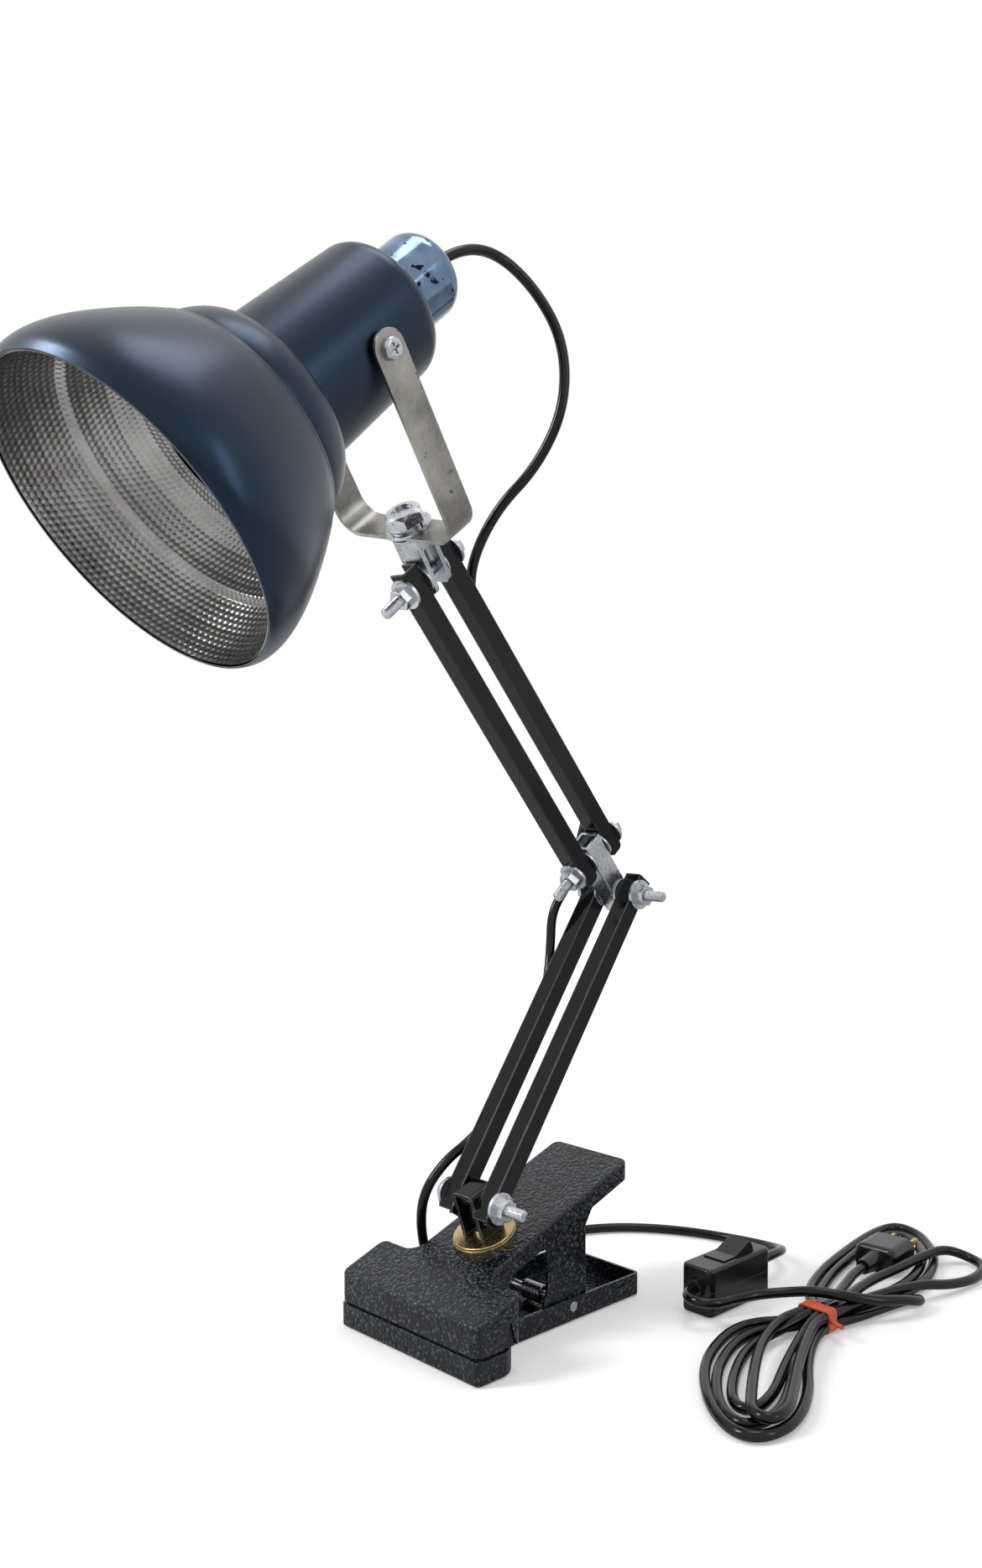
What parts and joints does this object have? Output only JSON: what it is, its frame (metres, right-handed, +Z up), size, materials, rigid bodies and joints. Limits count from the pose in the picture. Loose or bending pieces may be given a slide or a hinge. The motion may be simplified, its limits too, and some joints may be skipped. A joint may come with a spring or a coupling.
{
  "type": "clamp-on accordion desk lamp",
  "caption": "Clamp-on desk lamp with a swivelling two-stage folding arm, a tilting bell shade in a steel yoke, and a mains lead with an inline rocker switch.",
  "frame": {"origin": "on the clamp's flat foot, straight under the arm's lowest bolt", "axes": "+Z up; +X along the lowest arm bolt, towards its nut; -Y towards the clamp's jaws and the shade, +Y towards the clamp's lever"},
  "size_m": [0.2444, 0.5394, 0.5305],
  "materials": {
    "clamp_paint": "dark blue-black hammered enamel",
    "bar_paint": "gloss black enamel",
    "shade_paint": "satin black enamel",
    "zinc": "bright zinc plate",
    "yellow_zinc": "pale yellow zinc plate",
    "yoke_steel": "brushed steel, faintly warm",
    "spring_steel": "drawn spring wire",
    "chrome": "polished chrome plate",
    "reflector": "dimpled and anodised",
    "brass": "drawn brass",
    "holder_plastic": "moulded thermoset",
    "pad_rubber": "moulded, ribbed",
    "lead": "glossy black flex",
    "switch_plastic": "glossy black moulding",
    "tie": "orange-red coated wire"
  },
  "bodies": {
    "clamp_lower": {"lower_jaw": "clamp_paint", "lower_pad": "pad_rubber", "pivot_pin": "zinc", "clamp_spring": "spring_steel", "cord_base": "lead", "cord_tail": "lead", "cord_hank": "lead", "hank_tie": "tie", "cord_plug": "lead", "plug_body": "switch_plastic", "plug_blades": "brass", "switch_base": "switch_plastic", "switch_cover": "switch_plastic", "switch_glands": "switch_plastic", "switch_contacts": "brass", "rocker_pin": "zinc"},
    "clamp_upper": {"upper_jaw": "clamp_paint", "upper_pad": "pad_rubber", "lower_disc": "yellow_zinc", "swivel_rivet": "zinc"},
    "swivel_base": {"upper_disc": "yellow_zinc", "base_post": "bar_paint", "base_bolt": "zinc", "base_nut": "zinc", "base_washers": "zinc"},
    "lower_arm": {"lower_bar_left": "bar_paint", "lower_bar_right": "bar_paint", "cord_lower": "lead"},
    "elbow": {"elbow_block": "zinc", "elbow_bolts": "zinc", "elbow_nuts": "zinc", "elbow_washers": "zinc", "elbow_thin_washers": "zinc", "cord_elbow": "lead"},
    "upper_arm": {"upper_bar_front": "bar_paint", "upper_bar_rear": "bar_paint", "cord_upper": "lead"},
    "head": {"head_block": "zinc", "head_bolt": "zinc", "head_nut": "zinc", "head_washers": "zinc", "yoke_bolt": "zinc", "yoke_washers": "zinc"},
    "yoke": {"yoke": "yoke_steel"},
    "shade": {"shade_shell": "shade_paint", "reflector": "reflector", "holder_body": "holder_plastic", "holder_sleeve": "brass", "holder_contact": "brass", "holder_ring_nut": "holder_plastic", "holder_collar": "chrome", "holder_cap": "chrome", "cord_gland": "lead", "tilt_screws": "zinc", "tilt_nuts": "zinc", "tilt_spacers": "pad_rubber", "cord_head": "lead"},
    "rocker": {"switch_rocker": "switch_plastic"}
  },
  "joints": [
    {"name": "clamp_lever", "type": "hinge", "parent": "clamp_lower", "child": "clamp_upper", "pos_m": [0, 0.042, 0.0075], "axis": [-1, 0, 0], "range_deg": [0, 30], "stiffness_Nm_per_rad": 2, "springref_deg": -74.48, "deforming": ["clamp_spring", "cord_base"]},
    {"name": "base_swivel", "type": "hinge", "parent": "clamp_upper", "child": "swivel_base", "pos_m": [0, 0.0066, 0.0459], "axis": [0, -0.3305, 0.9438], "range_deg": [-170, 170], "deforming": ["cord_base"]},
    {"name": "lower_arm_pitch", "type": "hinge", "parent": "swivel_base", "child": "lower_arm", "pos_m": [0, -0.00017, 0.06526], "axis": [1, 0, 0], "range_deg": [-15, 95], "deforming": ["cord_base"]},
    {"name": "elbow_pitch", "type": "hinge", "parent": "lower_arm", "child": "elbow", "pos_m": [0, 0.10494, 0.21262], "axis": [1, 0, 0], "range_deg": [-74, 58], "deforming": ["cord_elbow"]},
    {"name": "upper_arm_swing", "type": "hinge", "parent": "elbow", "child": "upper_arm", "pos_m": [0, 0.08661, 0.23509], "axis": [0, 0.7749, 0.632], "range_deg": [-75, 75], "deforming": ["cord_elbow"]},
    {"name": "head_swing", "type": "hinge", "parent": "upper_arm", "child": "head", "pos_m": [0, -0.02968, 0.37768], "axis": [0, 0.7749, 0.632], "range_deg": [-75, 75], "deforming": ["cord_head"]},
    {"name": "yoke_swivel", "type": "hinge", "parent": "head", "child": "yoke", "pos_m": [0, -0.02968, 0.37768], "axis": [0.1668, -0.6232, 0.7641], "range_deg": [-170, 170], "deforming": ["cord_head"]},
    {"name": "shade_tilt", "type": "hinge", "parent": "yoke", "child": "shade", "pos_m": [0.01951, -0.1026, 0.46708], "axis": [0.9838, 0.0538, -0.1708], "range_deg": [-90, 32], "deforming": ["cord_head"]},
    {"name": "rocker_press", "type": "hinge", "parent": "clamp_lower", "child": "rocker", "pos_m": [0.0665, 0.121, 0.0225], "axis": [1, 0, 0], "range_deg": [-22, 0]}
  ]
}
